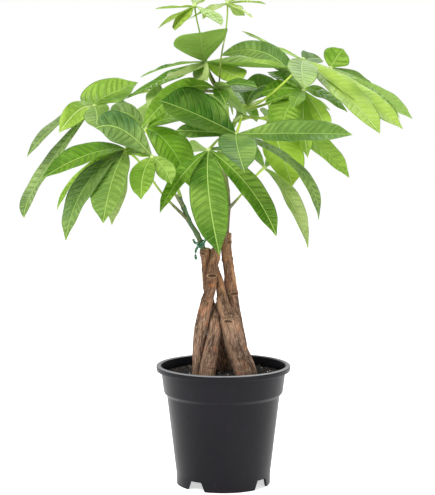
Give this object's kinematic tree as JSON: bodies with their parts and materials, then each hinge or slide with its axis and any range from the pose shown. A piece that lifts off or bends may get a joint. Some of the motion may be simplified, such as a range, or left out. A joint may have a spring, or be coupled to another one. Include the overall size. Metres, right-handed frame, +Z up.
{
  "type": "potted money tree",
  "caption": "Potted money tree with a braided trunk of bare woody stems, a spreading crown of drooping palmate leaves, and a tapered plastic nursery pot filled with soil.",
  "frame": {"origin": "on the ground at the pot's axis, under the middle of the plant", "axes": "+Z up along the pot's axis and the trunk, +X to the viewer's right, -Y toward the viewer"},
  "size_m": [0.3895, 0.3227, 0.4816],
  "materials": {
    "pot": "satin black moulded polypropylene",
    "trunk_3": "finely ridged living bark",
    "trunk_2": "finely ridged living bark",
    "trunk_1": "finely ridged living bark",
    "trunk_4": "finely ridged living bark",
    "trunk_5": "finely ridged living bark",
    "soil": "loose dark potting soil",
    "shoot_left": "smooth green living stem",
    "shoot_main": "smooth green living stem",
    "leaf_front_right": "living leaf with a soft sheen",
    "leaf_front_centre": "living leaf with a soft sheen",
    "leaf_left_inner": "living leaf with a soft sheen",
    "leaf_left_middle": "living leaf with a soft sheen",
    "leaf_left_lower": "living leaf with a soft sheen",
    "leaf_left_outer": "living leaf with a soft sheen",
    "leaf_centre_upper": "living leaf with a soft sheen",
    "leaf_top": "living leaf with a soft sheen",
    "leaf_crown_left": "living leaf with a soft sheen",
    "leaf_crown_right": "living leaf with a soft sheen",
    "leaf_right_outer": "living leaf with a soft sheen",
    "leaf_right_rear": "living leaf with a soft sheen",
    "leaf_right_middle": "living leaf with a soft sheen",
    "leaf_right_inner": "living leaf with a soft sheen",
    "leaf_right_lower": "living leaf with a soft sheen",
    "leaf_centre_rear": "living leaf with a soft sheen",
    "leaf_rear_left": "living leaf with a soft sheen",
    "leaf_rear_right": "living leaf with a soft sheen",
    "leaf_rear_lower": "living leaf with a soft sheen",
    "tie": "thin green plastic ribbon"
  },
  "bodies": {
    "root": {"pot": "pot", "trunk_3": "trunk_3", "trunk_2": "trunk_2", "trunk_1": "trunk_1", "trunk_4": "trunk_4", "trunk_5": "trunk_5", "soil": "soil", "shoot_left": "shoot_left", "shoot_main": "shoot_main", "leaf_front_right": "leaf_front_right", "leaf_front_centre": "leaf_front_centre", "leaf_left_inner": "leaf_left_inner", "leaf_left_middle": "leaf_left_middle", "leaf_left_lower": "leaf_left_lower", "leaf_left_outer": "leaf_left_outer", "leaf_centre_upper": "leaf_centre_upper", "leaf_top": "leaf_top", "leaf_crown_left": "leaf_crown_left", "leaf_crown_right": "leaf_crown_right", "leaf_right_outer": "leaf_right_outer", "leaf_right_rear": "leaf_right_rear", "leaf_right_middle": "leaf_right_middle", "leaf_right_inner": "leaf_right_inner", "leaf_right_lower": "leaf_right_lower", "leaf_centre_rear": "leaf_centre_rear", "leaf_rear_left": "leaf_rear_left", "leaf_rear_right": "leaf_rear_right", "leaf_rear_lower": "leaf_rear_lower", "tie": "tie"}
  },
  "joints": []
}
